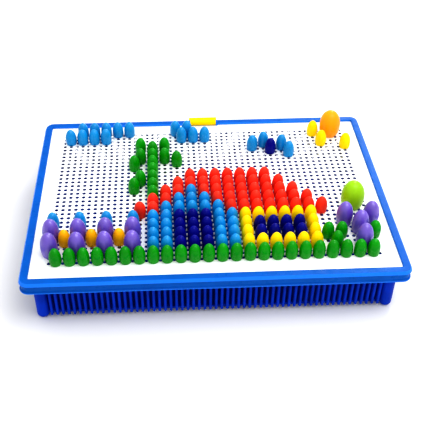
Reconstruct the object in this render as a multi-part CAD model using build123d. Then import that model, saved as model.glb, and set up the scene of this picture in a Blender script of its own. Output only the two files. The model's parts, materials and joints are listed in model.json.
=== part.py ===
from build123d import *
import math
import os

# Peg-mosaic board set, in millimetres.  +Z is up and Z = 0 is the table; +X runs along the length and
# +Y points to the back, where the latch is.  The origin is at the middle of the footprint.

# Hole lattice: column 0 is at the left, row 0 is at the back
PITCH = 5.75
COLUMNS = 49
ROWS = 33
HOLE_RADIUS = 1.7
LATTICE_BACK_SHIFT = 1.15            # the front margin is wider than the back one

# Heights above the table
BOARD_TOP = 48.0
BOARD_THICKNESS = 1.2
BOARD_UNDERSIDE = BOARD_TOP - BOARD_THICKNESS
RIM_STEP = 1.5                       # rim above the board's face
RIM_TOP = BOARD_TOP + RIM_STEP
SKIRT_HEIGHT = 11.0
SKIRT_BOTTOM = RIM_TOP - SKIRT_HEIGHT

# Lid frame
OPENING_LENGTH = 307.0
OPENING_WIDTH = 218.5
OPENING_CORNER = 1.0
RIM_WIDTH = 7.5
FRAME_LENGTH = OPENING_LENGTH + 2 * RIM_WIDTH
FRAME_WIDTH = OPENING_WIDTH + 2 * RIM_WIDTH
FRAME_CORNER = 8.5
RIM_ROUND = 2.0
SKIRT_WALL = 2.0
BOARD_LAP = 2.0                      # the board reaches this far under the rim
BOARD_LENGTH = OPENING_LENGTH + 2 * BOARD_LAP
BOARD_WIDTH = OPENING_WIDTH + 2 * BOARD_LAP
LOCATING_GAP = 0.2                   # between the board's edge and the rib around it
LOCATING_RIB = 1.6
LUG_LENGTH = 8.0
LUG_REACH = 3.0
LUG_HEIGHT = 1.5
LUGS_LONG_SIDE = 4
LUGS_SHORT_SIDE = 3
LUG_SPREAD = 0.6                     # outermost lugs, as a share of half the side

# Storage basket
BASKET_SETBACK = 9.0                 # basket walls inside the frame's outer edge
BASKET_LENGTH = FRAME_LENGTH - 2 * BASKET_SETBACK
BASKET_WIDTH = FRAME_WIDTH - 2 * BASKET_SETBACK
POST_RADIUS = 5.4
FOOT_FLAT_RADIUS = 1.8
FOOT_DOME_HEIGHT = 4.5
POST_X = BASKET_LENGTH / 2 - POST_RADIUS
POST_Y = BASKET_WIDTH / 2 - POST_RADIUS
ROD_BOTTOM = 3.6
ROD_WIDTH = 2.5
ROD_DEPTH = 3.6
ROD_ROUND = 1.1
ROD_PITCH = 4.79
ROD_END_GAP = 1.15                   # from a post to the edge of the nearest rod
TOP_RAIL_HEIGHT = 3.0
FLOOR_LIFT = 0.4                     # floor above the ends of the rods
FLOOR_THICKNESS = 2.0

# Latch: a flap on a pin at the inner edge of the back rim, which folds down over the skirt
LATCH_WIDTH = 28.0
LATCH_BARREL_WIDTH = 26.0
LATCH_BARREL_RADIUS = 2.6
LATCH_THICKNESS = 2.0
LATCH_CLEARANCE = 0.4                # flap to rim and flap to skirt
LATCH_BOTTOM = 33.5
LATCH_BEAD_HEIGHT = 1.4
LATCH_BEAD_DEPTH = 0.25
LATCH_LIP = 1.2
LATCH_LIP_HEIGHT = 2.5
PIN_RADIUS = 1.0
PIN_CLEARANCE = 0.06
PIN_BEHIND_OPENING = 0.25            # pin's middle to the inner edge of the rim
BARREL_LIFT = 0.3                    # barrel above the board's face
PIN_Y = OPENING_WIDTH / 2 + PIN_BEHIND_OPENING
PIN_Z = BOARD_TOP + BARREL_LIFT + LATCH_BARREL_RADIUS
EAR_THICKNESS = 1.5
EAR_RADIUS = 2.2
EAR_SIDE_GAP = 0.3
NOTCH_GAP = 0.3
CATCH_WIDTH = 22.0
CATCH_THICKNESS = 2.4
CATCH_TOP = 37.2
CATCH_GAP = 0.35                     # catch to the bead of the closed flap
CATCH_PLATE_HEIGHT = 10.0
OVERCUT = 1.0                        # cutters reach this far past what they cut

SKIRT_Y = FRAME_WIDTH / 2
LATCH_INNER_Y = SKIRT_Y + LATCH_CLEARANCE
LATCH_OUTER_Y = LATCH_INNER_Y + LATCH_THICKNESS
LATCH_TOP_INNER_Z = RIM_TOP + LATCH_CLEARANCE
LATCH_TOP_OUTER_Z = LATCH_TOP_INNER_Z + LATCH_THICKNESS
ORIGIN_SHIFT = (LATCH_OUTER_Y + LATCH_LIP - SKIRT_Y) / 2     # centres the footprint on the origin

# Egg pegs on stems that drop through the holes
STEM_RADIUS = 1.55
STEM_LENGTH = 14.0
STEM_TIP_CHAMFER = 0.5
FLARE_LOW = 0.4                      # control points of the curve from the base to the widest place,
FLARE_HIGH = 0.7                     # as shares of its height
QUARTER_ROUND = 0.5523               # control share with which a cubic follows a quarter ellipse
# Head radius and height, height of the widest place as a share of the head, base radius as a share
SMALL = (5.3, 16.0, 0.36, 0.90)
MEDIUM = (7.2, 23.0, 0.38, 0.86)
LARGE = (10.25, 27.0, 0.45, 0.74)


def rows(first, last):
    """Every second row from first to last, both included."""
    return range(first, last + 1, 2)


# The picture laid on the board.  Small pegs that share one node: its name and their (column, row) holes
PEG_GROUPS = {
    "cloud_left": [(c, 0) for c in (3, 5, 7, 9, 11)] + [(c, 2) for c in (1, 3, 5, 7)],
    "palm_trunk": [(15, r) for r in rows(6, 18)],
    "palm_leaves": [(13, 5), (13, 8), (12, 10), (13, 14), (12, 16), (17, 5), (17, 8), (19, 9)],
    "roof": [
        (column, row)
        for column, first, last in (
            (13, 22, 22), (15, 20, 22), (17, 18, 20), (19, 16, 18), (21, 14, 16), (23, 14, 18),
            (25, 14, 20), (27, 14, 22), (29, 14, 22), (31, 14, 22), (33, 14, 22), (35, 16, 22),
            (37, 18, 22), (39, 20, 22), (41, 22, 22),
        )
        for row in rows(first, last)
    ],
    "gable": [
        (column, row)
        for column, first, last in (
            (15, 24, 30), (17, 22, 30), (19, 20, 22), (21, 18, 22), (23, 20, 22),
            (25, 22, 30), (27, 24, 30),
        )
        for row in rows(first, last)
    ],
    "door": [(c, r) for c in (19, 21, 23) for r in rows(24, 30)],
    "window_frame": [(c, r) for c in (29, 39) for r in rows(24, 30)]
    + [(c, r) for c in (31, 33, 35, 37) for r in (24, 30)],
    "window_panes": [(c, r) for c in (31, 33, 35, 37) for r in (26, 28)],
    "grass": [(c, 32) for c in range(1, 48, 2)],
    "shrub": [(41, 28), (43, 28), (42, 30), (48, 28)],
}

# Pegs that each have a node of their own: name, size and the holes they stand in
SINGLE_PEGS = (
    ("sun", LARGE, [(46, 1)]),
    ("tree_crown", LARGE, [(46, 21)]),
    ("sun_ray", SMALL, [(43, 1), (44, 4), (48, 5)]),
    ("cloud_middle", SMALL, [(19, 0), (21, 0), (20, 2), (22, 2), (24, 2)]),
    ("cloud_right", SMALL, [(32, 5), (34, 4), (37, 5), (38, 7)]),
    ("bird", SMALL, [(35, 6)]),
    ("flower_back", MEDIUM, [(c, 27) for c in (0, 4, 8, 12)]),
    ("flower_front", MEDIUM, [(c, 30) for c in (0, 4, 8, 12)]),
    ("flower_tip", SMALL, [(c, 24) for c in (0, 4, 8, 12)]),
    ("flower_centre", SMALL, [(c, 28) for c in (2, 6, 10)]),
    ("berry", MEDIUM, [(44, 25), (48, 25), (46, 27), (46, 30)]),
)


def write(name, shape):
    """Move a piece to the row's origin and write it as its own node."""
    export_step(Pos(0, -ORIGIN_SHIFT, 0) * shape, f"parts/{name}.step")


def hole_place(column, row):
    """X and Y of a hole's centre."""
    x = (column - (COLUMNS - 1) / 2) * PITCH
    y = ((ROWS - 1) / 2 - row) * PITCH + LATTICE_BACK_SHIFT
    return x, y


def slab(length, width, corner, bottom, top):
    """An upright prism on a rounded rectangle."""
    outline = RectangleRounded(length, width, corner)
    return extrude(Pos(0, 0, bottom) * outline, top - bottom)


# ---- Lid: perforated board, frame and latch pin ----


def make_peg_board():
    """One sheet with every hole of the lattice cut in its outline face before it is given thickness."""
    outer = Wire.make_rect(BOARD_LENGTH, BOARD_WIDTH)
    holes = []
    for column in range(COLUMNS):
        for row in range(ROWS):
            x, y = hole_place(column, row)
            holes.append(Wire.make_circle(HOLE_RADIUS, Plane((x, y, 0))))
    sheet = Pos(0, 0, BOARD_UNDERSIDE) * Face(outer, holes)
    return Solid.extrude(sheet, Vector(0, 0, BOARD_THICKNESS))


def make_lugs():
    """Snap lugs on the locating rib, which hold the board up against the rim from below."""
    half_length = BOARD_LENGTH / 2 + LOCATING_GAP
    half_width = BOARD_WIDTH / 2 + LOCATING_GAP
    middle_z = BOARD_UNDERSIDE - LUG_HEIGHT / 2
    lugs = []
    for index in range(LUGS_LONG_SIDE):
        share = 2 * index / (LUGS_LONG_SIDE - 1) - 1
        for side in (-1, 1):
            place = Pos(share * LUG_SPREAD * half_length, side * (half_width - LUG_REACH / 2), middle_z)
            lugs.append(place * Box(LUG_LENGTH, LUG_REACH, LUG_HEIGHT))
    for index in range(LUGS_SHORT_SIDE):
        share = 2 * index / (LUGS_SHORT_SIDE - 1) - 1
        for side in (-1, 1):
            place = Pos(side * (half_length - LUG_REACH / 2), share * LUG_SPREAD * half_width, middle_z)
            lugs.append(place * Box(LUG_REACH, LUG_LENGTH, LUG_HEIGHT))
    return lugs


def make_ears():
    """The two lugs on the rim that hold the ends of the latch pin."""
    ears = []
    middle_x = LATCH_BARREL_WIDTH / 2 + EAR_SIDE_GAP + EAR_THICKNESS / 2
    foot_height = PIN_Z - BOARD_TOP
    for side in (-1, 1):
        foot = Pos(side * middle_x, PIN_Y, BOARD_TOP + foot_height / 2) * Box(
            EAR_THICKNESS, 2 * EAR_RADIUS, foot_height
        )
        head = Pos(side * middle_x, PIN_Y, PIN_Z) * Rot(0, 90, 0) * Cylinder(EAR_RADIUS, EAR_THICKNESS)
        ears.append(foot + head)
    return ears


def make_lid_frame():
    """Rim, skirt, locating rib, lugs and latch ears in one moulding."""
    body = slab(FRAME_LENGTH, FRAME_WIDTH, FRAME_CORNER, SKIRT_BOTTOM, RIM_TOP)
    body = fillet(body.faces().sort_by(Axis.Z)[-1].outer_wire().edges(), RIM_ROUND)
    hollow_length = FRAME_LENGTH - 2 * SKIRT_WALL
    hollow_width = FRAME_WIDTH - 2 * SKIRT_WALL
    body -= slab(hollow_length, hollow_width, FRAME_CORNER - SKIRT_WALL, SKIRT_BOTTOM, BOARD_TOP)
    body -= slab(OPENING_LENGTH, OPENING_WIDTH, OPENING_CORNER, BOARD_TOP, RIM_TOP)
    rib_bottom = BOARD_UNDERSIDE - LUG_HEIGHT
    inner_length = BOARD_LENGTH + 2 * LOCATING_GAP
    inner_width = BOARD_WIDTH + 2 * LOCATING_GAP
    rib = slab(
        inner_length + 2 * LOCATING_RIB, inner_width + 2 * LOCATING_RIB, LOCATING_RIB, rib_bottom, BOARD_TOP
    )
    rib -= Pos(0, 0, (rib_bottom + BOARD_TOP) / 2) * Box(inner_length, inner_width, BOARD_TOP - rib_bottom)
    body += rib
    for lug in make_lugs():
        body += lug
    notch_back = PIN_Y + LATCH_BARREL_RADIUS + NOTCH_GAP
    notch_width = LATCH_BARREL_WIDTH + 2 * EAR_SIDE_GAP
    notch_depth = notch_back - OPENING_WIDTH / 2 + OPENING_CORNER
    body -= Pos(0, notch_back - notch_depth / 2, BOARD_TOP + RIM_STEP / 2) * Box(
        notch_width, notch_depth, RIM_STEP
    )
    for ear in make_ears():
        body += ear
    pin_hole = Pos(0, PIN_Y, PIN_Z) * Rot(0, 90, 0) * Cylinder(PIN_RADIUS, FRAME_LENGTH / 2)
    return body - pin_hole


def make_latch_pin():
    """Straight pin from the outer face of one ear to that of the other."""
    length = LATCH_BARREL_WIDTH + 2 * EAR_SIDE_GAP + 2 * EAR_THICKNESS
    return Pos(0, PIN_Y, PIN_Z) * Rot(0, 90, 0) * Cylinder(PIN_RADIUS, length)


# ---- Latch ----


def make_latch_flap():
    """Barrel, top plate and down-turned leg with an inner bead and a finger lip."""
    tangent_y = PIN_Y + 2 * LATCH_BARREL_RADIUS
    lip_top = LATCH_BOTTOM + LATCH_LIP_HEIGHT
    bead_top = CATCH_TOP - CATCH_THICKNESS / 2 + LATCH_BEAD_HEIGHT / 2
    bead_bottom = bead_top - LATCH_BEAD_HEIGHT
    bead_y = LATCH_INNER_Y - LATCH_BEAD_DEPTH
    profile = Polyline(
        (PIN_Y, PIN_Z + LATCH_BARREL_RADIUS),
        (tangent_y, LATCH_TOP_OUTER_Z),
        (LATCH_OUTER_Y - LATCH_THICKNESS, LATCH_TOP_OUTER_Z),
        (LATCH_OUTER_Y, LATCH_TOP_INNER_Z),
        (LATCH_OUTER_Y, lip_top),
        (LATCH_OUTER_Y + LATCH_LIP, lip_top - LATCH_LIP),
        (LATCH_OUTER_Y + LATCH_LIP, LATCH_BOTTOM),
        (LATCH_INNER_Y, LATCH_BOTTOM),
        (LATCH_INNER_Y, bead_bottom),
        (bead_y, bead_bottom + LATCH_BEAD_DEPTH),
        (bead_y, bead_top - LATCH_BEAD_DEPTH),
        (LATCH_INNER_Y, bead_top),
        (LATCH_INNER_Y, LATCH_TOP_INNER_Z),
        (PIN_Y, LATCH_TOP_INNER_Z),
        close=True,
    )
    side_plane = Plane((0, 0, 0), x_dir=(0, 1, 0), z_dir=(1, 0, 0))
    section = make_face(profile) + Pos(PIN_Y, PIN_Z) * Circle(LATCH_BARREL_RADIUS)
    flap = extrude(side_plane * section, LATCH_WIDTH / 2, both=True)
    cut_width = (LATCH_WIDTH - LATCH_BARREL_WIDTH) / 2
    cut_front = PIN_Y - LATCH_BARREL_RADIUS - OVERCUT
    cut_back = PIN_Y + EAR_RADIUS + EAR_SIDE_GAP
    cut_height = 2 * (LATCH_BARREL_RADIUS + OVERCUT)
    for side in (-1, 1):
        flap -= Pos(side * (LATCH_WIDTH - cut_width) / 2, (cut_front + cut_back) / 2, PIN_Z) * Box(
            cut_width, cut_back - cut_front, cut_height
        )
    bore = Pos(0, PIN_Y, PIN_Z) * Rot(0, 90, 0) * Cylinder(PIN_RADIUS + PIN_CLEARANCE, 2 * LATCH_WIDTH)
    return flap - bore


def make_latch_catch():
    """Bracket on the back wall of the basket that the flap's bead snaps over."""
    back_y = SKIRT_Y + LATCH_CLEARANCE - LATCH_BEAD_DEPTH - CATCH_GAP
    front_y = BASKET_WIDTH / 2
    shelf = Pos(0, (back_y + front_y) / 2, CATCH_TOP - CATCH_THICKNESS / 2) * Box(
        CATCH_WIDTH, back_y - front_y, CATCH_THICKNESS
    )
    plate = Pos(0, front_y + CATCH_THICKNESS / 2, CATCH_TOP - CATCH_PLATE_HEIGHT / 2) * Box(
        CATCH_WIDTH, CATCH_THICKNESS, CATCH_PLATE_HEIGHT
    )
    return shelf + plate


# ---- Storage basket ----


def make_corner_post():
    """Round post with a domed foot that ends in a small flat, standing on the origin."""
    outline = Polyline((0, 0), (FOOT_FLAT_RADIUS, 0))
    half_way = math.radians(45)
    dome_middle = (
        FOOT_FLAT_RADIUS + (POST_RADIUS - FOOT_FLAT_RADIUS) * math.sin(half_way),
        FOOT_DOME_HEIGHT * (1 - math.cos(half_way)),
    )
    dome = ThreePointArc((FOOT_FLAT_RADIUS, 0), dome_middle, (POST_RADIUS, FOOT_DOME_HEIGHT))
    side = Polyline(
        (POST_RADIUS, FOOT_DOME_HEIGHT), (POST_RADIUS, BOARD_UNDERSIDE), (0, BOARD_UNDERSIDE), (0, 0)
    )
    section = make_face(outline + dome + side)
    return revolve(Plane.XZ * section, Axis.Z)


def make_grille(span, rod_count):
    """Upright rods, rounded on the outside, under one top rail.  It faces -Y and stands at Y = 0."""
    rod_section = Pos(0, ROD_DEPTH / 2) * Rectangle(ROD_WIDTH, ROD_DEPTH)
    rod_section = fillet(rod_section.vertices().group_by(Axis.Y)[0], ROD_ROUND)
    spacing = span / (rod_count - 1)
    rail_bottom = BOARD_UNDERSIDE - TOP_RAIL_HEIGHT
    rods = Sketch() + [Pos(index * spacing - span / 2, 0) * rod_section for index in range(rod_count)]
    grille = extrude(Pos(0, 0, ROD_BOTTOM) * rods, rail_bottom - ROD_BOTTOM)
    rail = Pos(0, ROD_DEPTH / 2, rail_bottom + TOP_RAIL_HEIGHT / 2) * Box(
        span + ROD_WIDTH, ROD_DEPTH, TOP_RAIL_HEIGHT
    )
    return grille + rail


def make_floor():
    """Floor between the four walls, notched round the corner posts."""
    length = BASKET_LENGTH - 2 * ROD_DEPTH
    width = BASKET_WIDTH - 2 * ROD_DEPTH
    middle_z = ROD_BOTTOM + FLOOR_LIFT + FLOOR_THICKNESS / 2
    floor = Pos(0, 0, middle_z) * Box(length, width, FLOOR_THICKNESS)
    for x in (-POST_X, POST_X):
        for y in (-POST_Y, POST_Y):
            floor -= Pos(x, y, middle_z) * Cylinder(POST_RADIUS, FLOOR_THICKNESS)
    return floor


def write_basket():
    write("floor_panel", make_floor())
    write("latch_catch", make_latch_catch())
    post = make_corner_post()
    for depth_name, y in (("front", -POST_Y), ("back", POST_Y)):
        for side_name, x in (("left", -POST_X), ("right", POST_X)):
            write(f"corner_post_{depth_name}_{side_name}", Pos(x, y, 0) * post)
    long_span = 2 * (POST_X - POST_RADIUS - ROD_END_GAP) - ROD_WIDTH
    short_span = 2 * (POST_Y - POST_RADIUS - ROD_END_GAP) - ROD_WIDTH
    long_grille = make_grille(long_span, round(long_span / ROD_PITCH) + 1)
    short_grille = make_grille(short_span, round(short_span / ROD_PITCH) + 1)
    write("grille_front", Pos(0, -BASKET_WIDTH / 2, 0) * long_grille)
    write("grille_back", Pos(0, BASKET_WIDTH / 2, 0) * Rot(0, 0, 180) * long_grille)
    write("grille_left", Pos(-BASKET_LENGTH / 2, 0, 0) * Rot(0, 0, -90) * short_grille)
    write("grille_right", Pos(BASKET_LENGTH / 2, 0, 0) * Rot(0, 0, 90) * short_grille)


# ---- Pegs ----


def make_peg(size):
    """An egg head with a flat base and a plain stem; the base stands at Z = 0."""
    radius, height, widest_share, base_share = size
    widest_z = widest_share * height
    base_radius = base_share * radius
    crown = height - widest_z
    lower = Bezier(
        (base_radius, 0),
        (radius, FLARE_LOW * widest_z),
        (radius, FLARE_HIGH * widest_z),
        (radius, widest_z),
    )
    upper = Bezier(
        (radius, widest_z),
        (radius, widest_z + QUARTER_ROUND * crown),
        (QUARTER_ROUND * radius, height),
        (0, height),
    )
    inside = Polyline(
        (0, height),
        (0, -STEM_LENGTH),
        (STEM_RADIUS - STEM_TIP_CHAMFER, -STEM_LENGTH),
        (STEM_RADIUS, STEM_TIP_CHAMFER - STEM_LENGTH),
        (STEM_RADIUS, 0),
        (base_radius, 0),
    )
    section = make_face(lower + upper + inside)
    return revolve(Plane.XZ * section, Axis.Z)


def stand_in_hole(peg, hole):
    """Place a peg with its base on the board over a hole."""
    x, y = hole_place(*hole)
    return Pos(x, y, BOARD_TOP) * peg


def write_pegs():
    pegs = {size: make_peg(size) for size in (SMALL, MEDIUM, LARGE)}
    for name, holes in PEG_GROUPS.items():
        write(f"pegs_{name}", Compound([stand_in_hole(pegs[SMALL], hole) for hole in holes]))
    for name, size, holes in SINGLE_PEGS:
        for number, hole in enumerate(holes, start=1):
            suffix = f"_{number}" if len(holes) > 1 else ""
            write(f"peg_{name}{suffix}", stand_in_hole(pegs[size], hole))


os.makedirs("parts", exist_ok=True)
write("peg_board", make_peg_board())
write("lid_frame", make_lid_frame())
write("latch_pin", make_latch_pin())
write("latch_flap", make_latch_flap())
write_basket()
write_pegs()
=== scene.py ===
import json
import math

import bpy
from mathutils import Matrix, Vector


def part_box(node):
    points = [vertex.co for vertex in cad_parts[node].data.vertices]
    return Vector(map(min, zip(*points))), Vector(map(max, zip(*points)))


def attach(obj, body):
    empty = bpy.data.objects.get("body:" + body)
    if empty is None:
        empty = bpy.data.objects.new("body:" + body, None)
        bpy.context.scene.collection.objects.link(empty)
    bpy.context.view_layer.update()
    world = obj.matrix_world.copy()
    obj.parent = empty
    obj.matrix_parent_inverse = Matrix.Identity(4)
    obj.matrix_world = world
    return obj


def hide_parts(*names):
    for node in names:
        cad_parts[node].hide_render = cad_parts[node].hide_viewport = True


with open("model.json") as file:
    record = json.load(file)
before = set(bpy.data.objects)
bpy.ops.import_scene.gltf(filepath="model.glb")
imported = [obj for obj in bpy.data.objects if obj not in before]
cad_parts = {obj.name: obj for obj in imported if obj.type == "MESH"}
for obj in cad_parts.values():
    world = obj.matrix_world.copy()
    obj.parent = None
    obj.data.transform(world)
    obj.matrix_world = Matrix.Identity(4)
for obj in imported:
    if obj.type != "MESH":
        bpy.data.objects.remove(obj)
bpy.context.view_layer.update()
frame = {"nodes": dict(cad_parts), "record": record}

MM = 0.001

# ---- Sizes that the frame doesn't give by itself ----

COLUMNS, ROWS = 49, 33
PITCH = 5.75 * MM
HOLE_RADIUS = 1.7 * MM
RIM_STEP = 1.5 * MM
MARK_COLUMN, MARK_ROW = 24, 10       # the hole that the record's free_peg_hole mount names

BOARD_LOW, BOARD_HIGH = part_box("peg_board")
FRAME_LOW, FRAME_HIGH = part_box("lid_frame")
BOARD_TOP = BOARD_HIGH.z
RIM_TOP = BOARD_TOP + RIM_STEP
MOUNTS = {mount["name"]: mount for mount in frame["record"]["mounts"]}
MARK = Vector(MOUNTS["free_peg_hole"]["pos_m"])
CENTRE = Vector(((FRAME_LOW.x + FRAME_HIGH.x) / 2, (FRAME_LOW.y + FRAME_HIGH.y) / 2, BOARD_TOP))
HALF_LENGTH = (FRAME_HIGH.x - FRAME_LOW.x) / 2
HALF_WIDTH = (FRAME_HIGH.y - FRAME_LOW.y) / 2


def hole_place(column, row):
    """X and Y of a hole's centre."""
    return MARK.x + (column - MARK_COLUMN) * PITCH, MARK.y + (MARK_ROW - row) * PITCH


# ---- Materials ----


class Nodes:
    """A material's node tree with short calls for the nodes used here."""

    def __init__(self, name):
        self.material = bpy.data.materials.new(name)
        self.material.use_nodes = True
        self.tree = self.material.node_tree
        self.tree.nodes.clear()
        self.output = self.tree.nodes.new("ShaderNodeOutputMaterial")
        self.shader = self.tree.nodes.new("ShaderNodeBsdfPrincipled")
        self.link(self.shader.outputs["BSDF"], self.output.inputs["Surface"])
        self.place = self.tree.nodes.new("ShaderNodeTexCoord").outputs["Object"]

    def link(self, out_socket, in_socket):
        self.tree.links.new(out_socket, in_socket)

    def noise(self, scale, detail=3.0, roughness=0.5):
        node = self.tree.nodes.new("ShaderNodeTexNoise")
        node.inputs["Scale"].default_value = scale
        node.inputs["Detail"].default_value = detail
        node.inputs["Roughness"].default_value = roughness
        self.link(self.place, node.inputs["Vector"])
        return node.outputs["Fac"]

    def span(self, value, from_low, from_high, to_low, to_high):
        node = self.tree.nodes.new("ShaderNodeMapRange")
        self.link(value, node.inputs["Value"])
        for key, number in zip(
            ("From Min", "From Max", "To Min", "To Max"), (from_low, from_high, to_low, to_high)
        ):
            node.inputs[key].default_value = number
        return node.outputs["Result"]

    def blend(self, factor, first, second):
        node = self.tree.nodes.new("ShaderNodeMix")
        node.data_type = "RGBA"
        self.link(factor, node.inputs["Factor"])
        for key, value in ((6, first), (7, second)):
            if isinstance(value, tuple):
                node.inputs[key].default_value = (*value, 1.0)
            else:
                self.link(value, node.inputs[key])
        return node.outputs[2]

    def bump(self, height, strength, distance, below=None):
        node = self.tree.nodes.new("ShaderNodeBump")
        node.inputs["Strength"].default_value = strength
        node.inputs["Distance"].default_value = distance
        self.link(height, node.inputs["Height"])
        if below is not None:
            self.link(below, node.inputs["Normal"])
        return node.outputs["Normal"]


# Noise scales are per metre
TONE_SCALE = 55.0
PATCH_SCALE = 160.0
FLOW_SCALE, FLOW_DEPTH = 240.0, 0.4 * MM
GRAIN_SCALE, GRAIN_DEPTH, GRAIN_STRENGTH = 2600.0, 0.05 * MM, 0.10
EDGE_START, EDGE_FULL = 0.53, 0.62           # pointiness at which an edge starts to be, and is, paled: rubbed wear, and a painted highlight where the share is large
PALE_EDGE_GAIN, PALE_EDGE_LIFT = 1.8, 0.02             # how much paler an edge is, as rubbed wear and as a painted highlight
DULLEST, GLOSSIEST = 1.3, 0.75               # roughness of the patches, as shares of the mean
PLASTIC_IOR = 1.5
COAT_ROUGHNESS = 0.22


def shade(colour, factor):
    """A darker or lighter version of a linear colour."""
    return tuple(min(1.0, channel * factor) for channel in colour)


def moulded_plastic(name, colour, roughness, coat, ripple, tone, wear_and_highlight, specular):
    """Injection-moulded plastic: uneven tone, flow ripple, fine grain, pale edges (rubbed wear and painted
    highlight) and dull patches.
    """
    nodes = Nodes(name)
    mottling = nodes.span(nodes.noise(TONE_SCALE, 4.0), 0.32, 0.68, 0.0, 1.0)
    body = nodes.blend(mottling, shade(colour, 1.0 - tone), shade(colour, 1.0 + tone))
    geometry = nodes.tree.nodes.new("ShaderNodeNewGeometry")
    # Pale convex edges: a little rubbed wear, and with a large share a painted highlight along the edge
    wear_and_edge_highlight = nodes.span(geometry.outputs["Pointiness"], EDGE_START, EDGE_FULL, 0.0, wear_and_highlight)
    pale = tuple(min(1.0, PALE_EDGE_GAIN * channel + PALE_EDGE_LIFT) for channel in colour)
    nodes.link(nodes.blend(wear_and_edge_highlight, body, pale), nodes.shader.inputs["Base Color"])
    patches = nodes.noise(PATCH_SCALE, 5.0, 0.6)
    uneven = nodes.span(patches, 0.3, 0.7, roughness * GLOSSIEST, roughness * DULLEST)
    nodes.link(uneven, nodes.shader.inputs["Roughness"])
    flow = nodes.bump(nodes.noise(FLOW_SCALE, 2.0), ripple, FLOW_DEPTH)
    grain = nodes.bump(nodes.noise(GRAIN_SCALE, 3.0, 0.6), GRAIN_STRENGTH, GRAIN_DEPTH, flow)
    nodes.link(grain, nodes.shader.inputs["Normal"])
    nodes.shader.inputs["IOR"].default_value = PLASTIC_IOR
    nodes.shader.inputs["Specular IOR Level"].default_value = specular
    nodes.shader.inputs["Coat Weight"].default_value = coat
    nodes.shader.inputs["Coat Roughness"].default_value = COAT_ROUGHNESS
    return nodes.material


# By material slot: name, linear colour, roughness, coat, ripple, tone variation, edge wear and painted edge
# highlight, specular level.
# The latch, posts and rods have few vertices, nearly all on edges, so their edge wear is slight.
PLASTICS = {
    # The frame's large edge share paints a highlight along its bead, bottom lip and other sharp edges
    "frame": ("frame_blue", (0.0004, 0.112, 0.46), 0.30, 0.0, 0.04, 0.08, 2.5, 0.10),
    # The basket is the frame's blue plastic. Its colour is darkened as painted shade for its place under the
    # rim, and the same darkened colour goes on the corner posts, floor panel and latch catch
    "basket": ("basket_painted_shade_navy", (0.0015, 0.045, 0.46), 0.40, 0.0, 0.10, 0.15, 0.04, 0.08),
    "board": ("board_white", (0.88, 0.90, 0.90), 0.45, 0.0, 0.05, 0.02, 0.25, 0.3),
    "latch": ("latch_yellow", (1.0, 0.64, 0.001), 0.45, 0.0, 0.08, 0.05, 0.02, 0.03),
    "pin": ("pin_navy", (0.005, 0.012, 0.10), 0.35, 0.0, 0.08, 0.10, 0.05, 0.1),
    "peg_light_blue": ("peg_light_blue", (0.004, 0.265, 0.60), 0.26, 0.10, 0.14, 0.10, 0.2, 0.35),
    "peg_navy": ("peg_navy", (0.001, 0.003, 0.21), 0.24, 0.0, 0.14, 0.15, 0.1, 0.15),
    "peg_red": ("peg_red", (0.84, 0.045, 0.022), 0.36, 0.0, 0.14, 0.08, 0.2, 0.15),
    "peg_yellow": ("peg_yellow", (1.0, 0.69, 0.0008), 0.34, 0.0, 0.14, 0.05, 0.15, 0.15),
    "peg_amber": ("peg_amber", (1.0, 0.46, 0.0005), 0.32, 0.0, 0.14, 0.08, 0.15, 0.25),
    "peg_green": ("peg_green", (0.001, 0.28, 0.003), 0.26, 0.0, 0.14, 0.12, 0.2, 0.30),
    "peg_purple": ("peg_purple", (0.135, 0.062, 0.48), 0.48, 0.8, 0.10, 0.12, 0.25, 1.0),
    "peg_orange": ("peg_orange", (1.0, 0.38, 0.002), 0.32, 0.0, 0.10, 0.08, 0.2, 0.30),
    "peg_lime": ("peg_lime", (0.31, 0.59, 0.006), 0.32, 0.0, 0.10, 0.10, 0.2, 0.30),
}
MATERIALS = {slot: moulded_plastic(*values) for slot, values in PLASTICS.items()}

# ---- Mesh helpers ----


def make_piece(name, points, faces, slot, body, replaced=(), smooth_below=35.0):
    """A mesh object in the row frame that rides on a body and may stand for CAD nodes."""
    mesh = bpy.data.meshes.new(name)
    mesh.from_pydata([tuple(point) for point in points], [], faces)
    mesh.validate()
    mesh.update()
    if smooth_below:
        mesh.shade_smooth()
        mesh.set_sharp_from_angle(angle=math.radians(smooth_below))
    mesh.materials.append(MATERIALS[slot])
    piece = bpy.data.objects.new(name, mesh)
    bpy.context.scene.collection.objects.link(piece)
    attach(piece, body)
    if replaced:
        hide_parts(*replaced)
    return piece


def bevel(piece, width, segments=2, limit=30.0):
    """Rounded edges, as a modifier."""
    modifier = piece.modifiers.new("rounded_edges", "BEVEL")
    modifier.width = width
    modifier.segments = segments
    modifier.limit_method = "ANGLE"
    modifier.angle_limit = math.radians(limit)
    modifier.harden_normals = True
    return piece


def cubic(start, first, second, end, steps):
    """Points on a cubic Bezier curve, without its start."""
    points = []
    for index in range(1, steps + 1):
        t = index / steps
        weights = ((1 - t) ** 3, 3 * t * (1 - t) ** 2, 3 * t * t * (1 - t), t**3)
        points.append(
            tuple(
                sum(weight * corner[axis] for weight, corner in zip(weights, (start, first, second, end)))
                for axis in (0, 1)
            )
        )
    return points


def arc(centre, radius, start, end, steps):
    """Points on an arc between two angles in degrees."""
    points = []
    for index in range(steps + 1):
        angle = math.radians(start + (end - start) * index / steps)
        points.append((centre[0] + radius * math.cos(angle), centre[1] + radius * math.sin(angle)))
    return points


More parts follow.
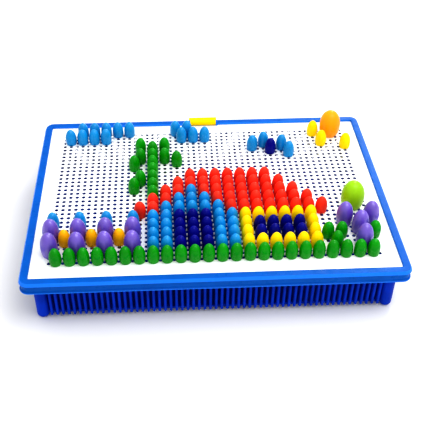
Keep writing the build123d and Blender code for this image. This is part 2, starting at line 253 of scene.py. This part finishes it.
def add_lathe(points, faces, profile, segments, x, y, z, turn=0.0):
    """Turn a profile of (radius, height) points, whose two ends are on the axis, round an upright axis."""
    top = len(points)
    points.append((x, y, z + profile[0][1]))
    rings = []
    for radius, height in profile[1:-1]:
        rings.append(len(points))
        for index in range(segments):
            angle = 2 * math.pi * index / segments + turn
            points.append((x + radius * math.cos(angle), y + radius * math.sin(angle), z + height))
    bottom = len(points)
    points.append((x, y, z + profile[-1][1]))
    for index in range(segments):
        after = (index + 1) % segments
        faces.append((top, rings[0] + index, rings[0] + after))
        for upper, lower in zip(rings, rings[1:]):
            faces.append((upper + index, lower + index, lower + after, upper + after))
        faces.append((rings[-1] + index, bottom, rings[-1] + after))


FRAME_CORNER = 8.5 * MM
SHARPEST_CORNER = 0.8 * MM
CORNER_STEPS = 10


def rounded_loop(inset, height):
    """A loop of points round the frame, this far inside its outer edge."""
    radius = max(FRAME_CORNER - inset, SHARPEST_CORNER)
    corner_x = HALF_LENGTH - inset - radius
    corner_y = HALF_WIDTH - inset - radius
    loop = []
    for quarter, (side_x, side_y) in enumerate(((1, 1), (-1, 1), (-1, -1), (1, -1))):
        for x, y in arc((0, 0), radius, 90 * quarter, 90 * quarter + 90, CORNER_STEPS):
            loop.append((CENTRE.x + side_x * corner_x + x, CENTRE.y + side_y * corner_y + y, height))
    return loop


def add_ring_sweep(points, faces, profile):
    """Sweep a closed profile of (inset, height) points round the frame."""
    starts = []
    for inset, height in profile:
        starts.append(len(points))
        points.extend(rounded_loop(inset, height))
    count = len(points) - starts[-1]
    for here, there in zip(starts, starts[1:] + starts[:1]):
        for index in range(count):
            after = (index + 1) % count
            faces.append((here + index, here + after, there + after, there + index))


def add_box(points, faces, low, high):
    """A plain box between two corners."""
    start = len(points)
    for z in (low[2], high[2]):
        points.extend((
            (low[0], low[1], z), (high[0], low[1], z), (high[0], high[1], z), (low[0], high[1], z),
        ))
    faces.append(tuple(start + index for index in (3, 2, 1, 0)))
    faces.append(tuple(start + index for index in (4, 5, 6, 7)))
    for index in range(4):
        after = (index + 1) % 4
        faces.append((start + index, start + after, start + 4 + after, start + 4 + index))


# ---- Pegs ----

# For heads up to each radius: the widest ring's share of the height, the base's share of the radius
HEAD_SHAPES = ((6.0 * MM, 0.36, 0.90), (8.5 * MM, 0.38, 0.86), (11.0 * MM, 0.45, 0.74))
FLARE_LOW, FLARE_HIGH = 0.4, 0.7
QUARTER_ROUND = 0.5523
BASE_ROUND = 0.45 * MM
STEM_RADIUS = 1.55 * MM
STEM_TIP_ROUND = 0.6 * MM
NECK_ROUND = 0.3 * MM                # fillet between the head's underside and the stem
CROWN_STEPS, FLARE_STEPS, EDGE_STEPS = 14, 8, 4
PEG_SEGMENTS = 36
PEG_SMOOTH_BELOW = 50.0
TURN_PER_COLUMN, TURN_PER_ROW = 0.7, 1.3      # radians, so that neighbouring pegs don't look cloned
STEM_END = 0.1 * MM                  # a CAD vertex this near the lowest one is on a stem's end


def peg_profile(radius, height, stem_length):
    """From the crown down the head, round the base edge, under it and down the stem to its tip."""
    widest_share, base_share = next(shape[1:] for shape in HEAD_SHAPES if radius < shape[0])
    widest = widest_share * height
    crown = height - widest
    base = base_share * radius
    profile = [(0.0, height)]
    profile += cubic(
        (0.0, height), (QUARTER_ROUND * radius, height), (radius, widest + QUARTER_ROUND * crown),
        (radius, widest), CROWN_STEPS,
    )
    flare = cubic(
        (radius, widest), (radius, FLARE_HIGH * widest), (radius, FLARE_LOW * widest), (base, 0), FLARE_STEPS
    )
    profile += [point for point in flare if point[1] > BASE_ROUND * 1.2]
    profile += arc((base - BASE_ROUND * 0.9, BASE_ROUND), BASE_ROUND, 0, -90, EDGE_STEPS)
    profile += [(STEM_RADIUS + NECK_ROUND, 0.0), (STEM_RADIUS, -NECK_ROUND)]
    profile += arc(
        (STEM_RADIUS - STEM_TIP_ROUND, STEM_TIP_ROUND - stem_length), STEM_TIP_ROUND, 0, -90, EDGE_STEPS
    )
    profile.append((0.0, -stem_length))
    return profile


def holes_of(node):
    """The lattice holes that a CAD peg node stands in, read from the lowest points of its stems."""
    low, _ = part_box(node)
    holes = set()
    for vertex in frame["nodes"][node].data.vertices:
        if vertex.co.z < low.z + STEM_END:
            column = round((vertex.co.x - MARK.x) / PITCH) + MARK_COLUMN
            row = MARK_ROW - round((vertex.co.y - MARK.y) / PITCH)
            holes.add((column, row))
    return sorted(holes)


def make_pegs(node, body, slot):
    """High-resolution pegs in place of one CAD peg node."""
    low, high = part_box(node)
    holes = holes_of(node)
    height = high.z - BOARD_TOP
    columns = [column for column, _ in holes]
    radius = (high.x - low.x - (max(columns) - min(columns)) * PITCH) / 2
    points, faces = [], []
    for column, row in holes:
        x, y = hole_place(column, row)
        turn = TURN_PER_COLUMN * column + TURN_PER_ROW * row
        profile = peg_profile(radius, height, BOARD_TOP - low.z)
        add_lathe(points, faces, profile, PEG_SEGMENTS, x, y, BOARD_TOP, turn)
    make_piece(f"{node}_moulded", points, faces, slot, body, (node,), PEG_SMOOTH_BELOW)


# ---- Perforated board ----

HOLE_SEGMENTS = 16
HOLE_EDGE = 0.06 * MM                # rounding of a hole's upper edge
HOLE_RELIEF = 0.5 * MM               # a hole's radius grows by this much to the underside
FIELD_MARGIN = 1.1 * PITCH           # raised hole field beyond the outer cells
FIELD_STEP = 0.35 * MM
FIELD_SLOPE = 0.5 * MM


class SharedPoints:
    """A point list that gives equal points one index."""

    def __init__(self):
        self.points = []
        self.index = {}

    def add(self, x, y, z):
        key = (round(x * 1e7), round(y * 1e7), round(z * 1e7))
        if key not in self.index:
            self.index[key] = len(self.points)
            self.points.append((x, y, z))
        return self.index[key]


def square_offset(index):
    """A point of a cell's square outline, by the direction it lies in."""
    angle = 2 * math.pi * index / HOLE_SEGMENTS
    across, along = math.cos(angle), math.sin(angle)
    reach = PITCH / 2 / max(abs(across), abs(along))
    return across * reach, along * reach


def add_cell(shared, faces, x, y, top, bottom):
    """One square cell with a round hole that opens out towards the underside."""
    rings = []
    for radius, height in (
        (None, top), (HOLE_RADIUS + HOLE_EDGE, top), (HOLE_RADIUS, top - HOLE_EDGE),
        (HOLE_RADIUS + HOLE_RELIEF, bottom), (None, bottom),
    ):
        ring = []
        for index in range(HOLE_SEGMENTS):
            if radius is None:
                across, along = square_offset(index)
            else:
                angle = 2 * math.pi * index / HOLE_SEGMENTS
                across, along = radius * math.cos(angle), radius * math.sin(angle)
            ring.append(shared.add(x + across, y + along, height))
        rings.append(ring)
    for outer, inner in zip(rings, rings[1:]):
        for index in range(HOLE_SEGMENTS):
            after = (index + 1) % HOLE_SEGMENTS
            faces.append((outer[index], outer[after], inner[after], inner[index]))


def side_points(low, high, count, shares):
    """Places of the cell outline points along one side of the hole field."""
    places = []
    for index in range(count):
        middle = low + (index + 0.5) * PITCH
        places.extend(middle + share * PITCH / 2 for share in shares)
    places.append(high)
    return places


def add_field_border(shared, faces, height, low, high, reach, upward):
    """Flat strips from the hole field's edge out to a rectangle that is larger by reach."""
    shares = (-1.0, -math.tan(math.pi / 8), 0.0, math.tan(math.pi / 8))
    xs = side_points(low[0], high[0], COLUMNS, shares)
    ys = side_points(low[1], high[1], ROWS, shares)
    outer = ((low[0] - reach, low[1] - reach), (high[0] + reach, high[1] + reach))
    corners = ((0, 0), (1, 0), (1, 1), (0, 1))
    sides = (
        [(x, low[1]) for x in xs], [(high[0], y) for y in ys],
        [(x, high[1]) for x in reversed(xs)], [(low[0], y) for y in reversed(ys)],
    )
    for side, places in enumerate(sides):
        first, last = corners[side], corners[(side + 1) % 4]
        face = [shared.add(x, y, height) for x, y in reversed(places)]
        face.append(shared.add(outer[first[0]][0], outer[first[1]][1], height))
        face.append(shared.add(outer[last[0]][0], outer[last[1]][1], height))
        faces.append(tuple(face if upward else reversed(face)))
    return outer


def add_rectangle_band(shared, faces, inner, inner_z, outer, outer_z):
    """Four faces between two rectangles."""
    def corner(box, index, height):
        x = box[0][0] if index in (0, 3) else box[1][0]
        y = box[0][1] if index in (0, 1) else box[1][1]
        return shared.add(x, y, height)

    for index in range(4):
        after = (index + 1) % 4
        faces.append((
            corner(inner, after, inner_z), corner(inner, index, inner_z),
            corner(outer, index, outer_z), corner(outer, after, outer_z),
        ))


def make_board():
    """The white sheet with every hole, a slightly raised hole field and a lower margin."""
    shared, faces = SharedPoints(), []
    bottom = BOARD_LOW.z
    for column in range(COLUMNS):
        for row in range(ROWS):
            x, y = hole_place(column, row)
            add_cell(shared, faces, x, y, BOARD_TOP, bottom)
    left, back = hole_place(0, 0)
    right, front = hole_place(COLUMNS - 1, ROWS - 1)
    low = (left - PITCH / 2, front - PITCH / 2)
    high = (right + PITCH / 2, back + PITCH / 2)
    field = add_field_border(shared, faces, BOARD_TOP, low, high, FIELD_MARGIN, True)
    slope = tuple(
        tuple(value + side * FIELD_SLOPE for value in corner) for side, corner in zip((-1, 1), field)
    )
    edge = ((BOARD_LOW.x, BOARD_LOW.y), (BOARD_HIGH.x, BOARD_HIGH.y))
    margin_z = BOARD_TOP - FIELD_STEP
    add_rectangle_band(shared, faces, field, BOARD_TOP, slope, margin_z)
    add_rectangle_band(shared, faces, slope, margin_z, edge, margin_z)
    add_rectangle_band(shared, faces, edge, margin_z, edge, bottom)
    below = add_field_border(shared, faces, bottom, low, high, FIELD_MARGIN, False)
    add_rectangle_band(shared, faces, edge, bottom, below, bottom)
    make_piece("peg_board_moulded", shared.points, faces, "board", "lid", ("peg_board",), 0)


# ---- Lid frame ----

RIM_WIDTH = 7.5 * MM
BEAD_DEPTH, BEAD_HEIGHT = 1.3 * MM, 2.4 * MM     # sloped band along the rim's outer edge
BEAD_EDGE = 0.4 * MM
FRAME_SMOOTH_BELOW = 32.0
SKIRT_WALL = 2.4 * MM
SKIRT_RELIEF = 1.3 * MM              # the skirt's face lies this far behind its bottom lip
LIP_HEIGHT, LIP_EDGE = 1.0 * MM, 0.4 * MM
INNER_ROUND = 0.5 * MM
RIB_INSET = 3.9 * MM
RIB_THICKNESS = 1.6 * MM
RIB_BELOW_BOARD = 1.5 * MM
RIB_TOP_GAP = 0.02 * MM              # between the rib's top and the rim's underside
RIB_EDGE, LUG_EDGE, EAR_EDGE = 0.2 * MM, 0.25 * MM, 0.2 * MM
LUG_REACH, LUG_HALF_LENGTH = 3.0 * MM, 4.0 * MM
LUG_SPREAD = 0.6                     # outermost lugs, as a share of half the side
BARREL_RADIUS = 2.6 * MM
BARREL_WIDTH = 26.0 * MM
EAR_GAP = 0.3 * MM
EAR_THICKNESS = 1.5 * MM
EAR_RADIUS = 2.2 * MM
EAR_STEPS = 14
NOTCH_GAP = 0.3 * MM

PIN_LOW, PIN_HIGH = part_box("latch_pin")
PIN_PLACE = (PIN_LOW + PIN_HIGH) / 2


def frame_profile():
    """Section of the rim and skirt, from the inner foot of the skirt round the outside."""
    bottom = FRAME_LOW.z
    bead_foot = RIM_TOP - BEAD_HEIGHT - BEAD_EDGE
    profile = [(SKIRT_WALL, bottom), (LIP_EDGE, bottom), (0.0, bottom + LIP_EDGE)]
    profile += [(0.0, bottom + LIP_HEIGHT), (SKIRT_RELIEF, bottom + LIP_HEIGHT + 0.5 * SKIRT_RELIEF)]
    profile += [(SKIRT_RELIEF, bead_foot - SKIRT_RELIEF), (SKIRT_RELIEF, bead_foot - 0.3 * SKIRT_RELIEF)]
    profile += [(0.0, bead_foot), (0.0, bead_foot + BEAD_EDGE), (BEAD_DEPTH, RIM_TOP)]
    profile += [(BEAD_DEPTH + BEAD_EDGE, RIM_TOP), (BEAD_DEPTH + 2 * BEAD_EDGE, RIM_TOP)]
    profile += arc((RIM_WIDTH - INNER_ROUND, RIM_TOP - INNER_ROUND), INNER_ROUND, 90, 0, 4)
    profile += [(RIM_WIDTH, BOARD_TOP), (SKIRT_WALL, BOARD_TOP)]
    return profile


def cut(piece, cutter):
    """Take a closed mesh out of a piece for good."""
    modifier = piece.modifiers.new("cut", "BOOLEAN")
    modifier.operation = "DIFFERENCE"
    modifier.solver = "EXACT"
    modifier.object = cutter
    graph = bpy.context.evaluated_depsgraph_get()
    mesh = bpy.data.meshes.new_from_object(piece.evaluated_get(graph))
    piece.modifiers.clear()
    piece.data = mesh
    bpy.data.objects.remove(cutter)


def make_frame():
    """Rim and skirt with the latch notch, and the locating rib underneath."""
    points, faces = [], []
    add_ring_sweep(points, faces, frame_profile())
    piece = make_piece("lid_frame_moulded", points, faces, "frame", "lid", ("lid_frame",), FRAME_SMOOTH_BELOW)
    notch_half = BARREL_WIDTH / 2 + EAR_GAP
    notch_back = PIN_PLACE.y + BARREL_RADIUS + NOTCH_GAP
    points, faces = [], []
    add_box(
        points, faces,
        (-notch_half, notch_back - 2 * RIM_WIDTH, BOARD_TOP - 2 * RIM_STEP),
        (notch_half, notch_back, RIM_TOP + RIM_STEP),
    )
    mesh = bpy.data.meshes.new("notch")
    mesh.from_pydata(points, [], faces)
    cutter = bpy.data.objects.new("notch", mesh)
    bpy.context.scene.collection.objects.link(cutter)
    cut(piece, cutter)
    points, faces = [], []
    rib_bottom = BOARD_LOW.z - RIB_BELOW_BOARD
    rib_top = BOARD_TOP - RIB_TOP_GAP
    add_ring_sweep(points, faces, [
        (RIB_INSET, rib_bottom), (RIB_INSET, rib_top),
        (RIB_INSET + RIB_THICKNESS, rib_top), (RIB_INSET + RIB_THICKNESS, rib_bottom),
    ])
    bevel(make_piece("locating_rib", points, faces, "frame", "lid"), RIB_EDGE)


def make_lugs():
    """Snap lugs under the board's edge, on the locating rib."""
    rib_x = HALF_LENGTH - RIB_INSET - RIB_THICKNESS
    rib_y = HALF_WIDTH - RIB_INSET - RIB_THICKNESS
    top = BOARD_LOW.z
    bottom = top - RIB_BELOW_BOARD
    points, faces = [], []
    for side in (-1, 1):
        for share in (-1, -1 / 3, 1 / 3, 1):
            x = CENTRE.x + share * LUG_SPREAD * rib_x
            ys = sorted((CENTRE.y + side * rib_y, CENTRE.y + side * (rib_y - LUG_REACH)))
            add_box(points, faces, (x - LUG_HALF_LENGTH, ys[0], bottom), (x + LUG_HALF_LENGTH, ys[1], top))
        for share in (-1, 0, 1):
            y = CENTRE.y + share * LUG_SPREAD * rib_y
            xs = sorted((CENTRE.x + side * rib_x, CENTRE.x + side * (rib_x - LUG_REACH)))
            add_box(points, faces, (xs[0], y - LUG_HALF_LENGTH, bottom), (xs[1], y + LUG_HALF_LENGTH, top))
    bevel(make_piece("board_lugs", points, faces, "frame", "lid"), LUG_EDGE)


def make_ears():
    """Two round-topped ears that hold the latch pin."""
    points, faces = [], []
    for side in (-1, 1):
        inner = side * (BARREL_WIDTH / 2 + EAR_GAP)
        outer = side * (BARREL_WIDTH / 2 + EAR_GAP + EAR_THICKNESS)
        outline = [(EAR_RADIUS, BOARD_TOP - PIN_PLACE.z)] + arc((0, 0), EAR_RADIUS, 0, 180, EAR_STEPS)
        outline.append((-EAR_RADIUS, BOARD_TOP - PIN_PLACE.z))
        start = len(points)
        count = len(outline)
        for x in sorted((inner, outer)):
            points.extend((x, PIN_PLACE.y + y, PIN_PLACE.z + z) for y, z in outline)
        faces.append(tuple(range(start + count - 1, start - 1, -1)))
        faces.append(tuple(range(start + count, start + 2 * count)))
        for index in range(count):
            after = (index + 1) % count
            faces.append((start + index, start + after, start + count + after, start + count + index))
    bevel(make_piece("latch_ears", points, faces, "frame", "lid"), EAR_EDGE)


# ---- Basket ----

ROD_WIDTH = 2.5 * MM
ROD_PITCH = 4.79 * MM
ROD_END_ROUND = 1.3 * MM
ROD_FRONT_STEPS, ROD_DOME_STEPS = 10, 4
ROD_TIP = 0.25                       # a rod's lowest section, as a share of its full one
ROD_LAP = 0.01 * MM                  # a rod reaches this far into the rail
RAIL_HEIGHT = 3.0 * MM
GRILLE_SMOOTH_BELOW = 40.0


def rod_outline(depth, shrink):
    """Half-round front on a square back, across and into the wall; shrink pulls it to its middle."""
    radius = ROD_WIDTH / 2
    outline = [(radius, depth)] + [(x, radius + y) for x, y in arc((0, 0), radius, 0, -180, ROD_FRONT_STEPS)]
    outline.append((-radius, depth))
    middle = depth / 2
    return [(x * shrink, middle + (y - middle) * shrink) for x, y in outline]


def add_rod(points, faces, depth, low, high, place):
    """One upright rod with a domed foot; place turns (across, inward, z) into a point."""
    levels = []
    for index in range(ROD_DOME_STEPS + 1):
        angle = math.pi / 2 * index / ROD_DOME_STEPS
        shrink = ROD_TIP + (1 - ROD_TIP) * math.sin(angle)
        levels.append((shrink, low + ROD_END_ROUND * (1 - math.cos(angle))))
    levels.append((1.0, high))
    starts = []
    for shrink, height in levels:
        starts.append(len(points))
        points.extend(place(across, inward, height) for across, inward in rod_outline(depth, shrink))
    count = len(points) - starts[-1]
    faces.append(tuple(range(starts[0], starts[0] + count)))
    for lower, upper in zip(starts, starts[1:]):
        for index in range(count):
            after = (index + 1) % count
            faces.append((lower + after, lower + index, upper + index, upper + after))
    faces.append(tuple(range(starts[-1] + count - 1, starts[-1] - 1, -1)))


def make_grille(node, along, inward):
    """Rods and top rail in place of one CAD grille, whose face points away from inward."""
    low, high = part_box(node)
    middle = (low + high) / 2
    axis = 0 if along.x else 1
    half = (high[axis] - low[axis]) / 2
    depth = high[1 - axis] - low[1 - axis]
    face = middle - inward * depth / 2
    span = 2 * half - ROD_WIDTH
    count = round(span / ROD_PITCH) + 1

    def place_at(offset):
        def place(across, into, height):
            point = face + along * (offset + across) + inward * into
            return (point.x, point.y, height)
        return place

    points, faces = [], []
    for index in range(count):
        offset = index * span / (count - 1) - span / 2
        add_rod(points, faces, depth, low.z, high.z - RAIL_HEIGHT + ROD_LAP, place_at(offset))
    corners = [face - along * half, face + along * half + inward * depth]
    rail_low = [min(corner[k] for corner in corners) for k in (0, 1)] + [high.z - RAIL_HEIGHT]
    rail_high = [max(corner[k] for corner in corners) for k in (0, 1)] + [high.z]
    add_box(points, faces, rail_low, rail_high)
    make_piece(f"{node}_moulded", points, faces, "basket", "base", (node,), GRILLE_SMOOTH_BELOW)


# ---- CAD nodes that stay, with a material and rounded edges ----


MOULDED_EDGE, PIN_EDGE = 0.3 * MM, 0.15 * MM


def dress_node(node, slot, round_width=0.0):
    """Give a CAD node its plastic and, with a width, rounded edges."""
    piece = frame["nodes"][node]
    piece.data.materials.clear()
    piece.data.materials.append(MATERIALS[slot])
    if round_width:
        bevel(piece, round_width)


# ---- Stage, light and camera ----

CAMERA_FROM_BOARD = Vector((-38.3, -557.5, 440.8)) * MM      # from the middle of the hole lattice
CAMERA_YAW = math.radians(3.07)
CAMERA_ELEVATION = math.radians(40.14)
CAMERA_ROLL = math.radians(-0.26)
CAMERA_LENS = 64.5
CAMERA_SHIFT_X = 0.035
SENSOR_WIDTH = 36.0
CLIP_START = 0.02


def make_camera():
    """The photograph's view, set by angles and a place relative to the middle of the holes."""
    forward = Vector((
        math.sin(CAMERA_YAW) * math.cos(CAMERA_ELEVATION),
        math.cos(CAMERA_YAW) * math.cos(CAMERA_ELEVATION),
        -math.sin(CAMERA_ELEVATION),
    ))
    right = Vector((math.cos(CAMERA_YAW), -math.sin(CAMERA_YAW), 0.0))
    right = Matrix.Rotation(CAMERA_ROLL, 3, forward) @ right
    up = right.cross(forward)
    data = bpy.data.cameras.new("camera")
    data.lens = CAMERA_LENS
    data.sensor_width = SENSOR_WIDTH
    data.shift_x = CAMERA_SHIFT_X
    data.clip_start = CLIP_START
    camera = bpy.data.objects.new("camera", data)
    bpy.context.scene.collection.objects.link(camera)
    left_x, back_y = hole_place(0, 0)
    right_x, front_y = hole_place(COLUMNS - 1, ROWS - 1)
    middle = Vector(((left_x + right_x) / 2, (back_y + front_y) / 2, BOARD_TOP))
    turn = Matrix((right, up, -forward)).transposed()
    camera.matrix_world = Matrix.Translation(middle + CAMERA_FROM_BOARD) @ turn.to_4x4()
    bpy.context.scene.camera = camera


SKY_LOW, SKY_HIGH = 0.62, 0.84        # strength of the surroundings at the horizon and overhead
FLOOR_HALF = 6.0
FLOOR_GREY, FLOOR_ROUGHNESS = 0.80, 0.9
# Place, aim, size and power of each soft box
LIGHTS = {
    "back_box": ((0.48, 0.91, 0.77), (0.06, 0, 0.05), (0.40, 0.50), 3.6),
    "overhead": ((0.30, -0.25, 0.95), (0.05, -0.05, 0), (0.8, 0.8), 5.0),
}


def area_light(name, place, target, size, power):
    """A rectangular soft box aimed at a point."""
    data = bpy.data.lights.new(name, "AREA")
    data.shape = "RECTANGLE"
    data.size, data.size_y = size
    data.energy = power
    light = bpy.data.objects.new(name, data)
    light.location = place
    light.rotation_euler = (Vector(target) - Vector(place)).to_track_quat("-Z", "Y").to_euler()
    bpy.context.scene.collection.objects.link(light)


def make_stage():
    """Pale floor, pale surroundings and soft studio light."""
    mesh = bpy.data.meshes.new("floor")
    corners = [(x * FLOOR_HALF, y * FLOOR_HALF, 0) for x, y in ((-1, -1), (1, -1), (1, 1), (-1, 1))]
    mesh.from_pydata(corners, [], [(0, 1, 2, 3)])
    floor = bpy.data.objects.new("floor", mesh)
    bpy.context.scene.collection.objects.link(floor)
    material = bpy.data.materials.new("floor_white")
    material.use_nodes = True
    shader = material.node_tree.nodes["Principled BSDF"]
    shader.inputs["Base Color"].default_value = (FLOOR_GREY, FLOOR_GREY, FLOOR_GREY, 1.0)
    shader.inputs["Roughness"].default_value = FLOOR_ROUGHNESS
    mesh.materials.append(material)
    world = bpy.data.worlds.new("studio")
    world.use_nodes = True
    tree = world.node_tree
    direction = tree.nodes.new("ShaderNodeTexCoord").outputs["Generated"]
    split = tree.nodes.new("ShaderNodeSeparateXYZ")
    tree.links.new(direction, split.inputs["Vector"])
    rise = tree.nodes.new("ShaderNodeMapRange")
    tree.links.new(split.outputs["Z"], rise.inputs["Value"])
    for key, number in (("From Min", 0.0), ("From Max", 1.0), ("To Min", SKY_LOW), ("To Max", SKY_HIGH)):
        rise.inputs[key].default_value = number
    tree.links.new(rise.outputs["Result"], tree.nodes["Background"].inputs["Strength"])
    tree.nodes["Background"].inputs["Color"].default_value = (1.0, 1.0, 1.0, 1.0)
    bpy.context.scene.world = world
    for name, settings in LIGHTS.items():
        area_light(name, *settings)
    bpy.context.scene.view_settings.view_transform = "Standard"
    bpy.context.scene.view_settings.look = "High Contrast"


# ---- Assembly ----

SLOTS = {entry["node"]: entry["material_slot"] for entry in frame["record"]["subparts"]}
BODY_OF = {node: body for body, nodes in frame["record"]["behaviour"]["bodies"].items() for node in nodes}
RIGHT, BACK = Vector((1, 0, 0)), Vector((0, 1, 0))

make_camera()
make_stage()
make_board()
make_frame()
make_lugs()
make_ears()
make_grille("grille_front", RIGHT, BACK)
make_grille("grille_back", RIGHT, -BACK)
make_grille("grille_left", BACK, RIGHT)
make_grille("grille_right", BACK, -RIGHT)
for node_name in sorted(SLOTS):
    if node_name.startswith("peg_") and node_name != "peg_board" or node_name.startswith("pegs_"):
        make_pegs(node_name, BODY_OF[node_name], SLOTS[node_name])
    elif node_name.startswith("corner_post"):
        dress_node(node_name, "basket")
    elif node_name in ("floor_panel", "latch_catch"):
        dress_node(node_name, "basket", MOULDED_EDGE)
dress_node("latch_flap", "latch", MOULDED_EDGE)
dress_node("latch_pin", "pin", PIN_EDGE)
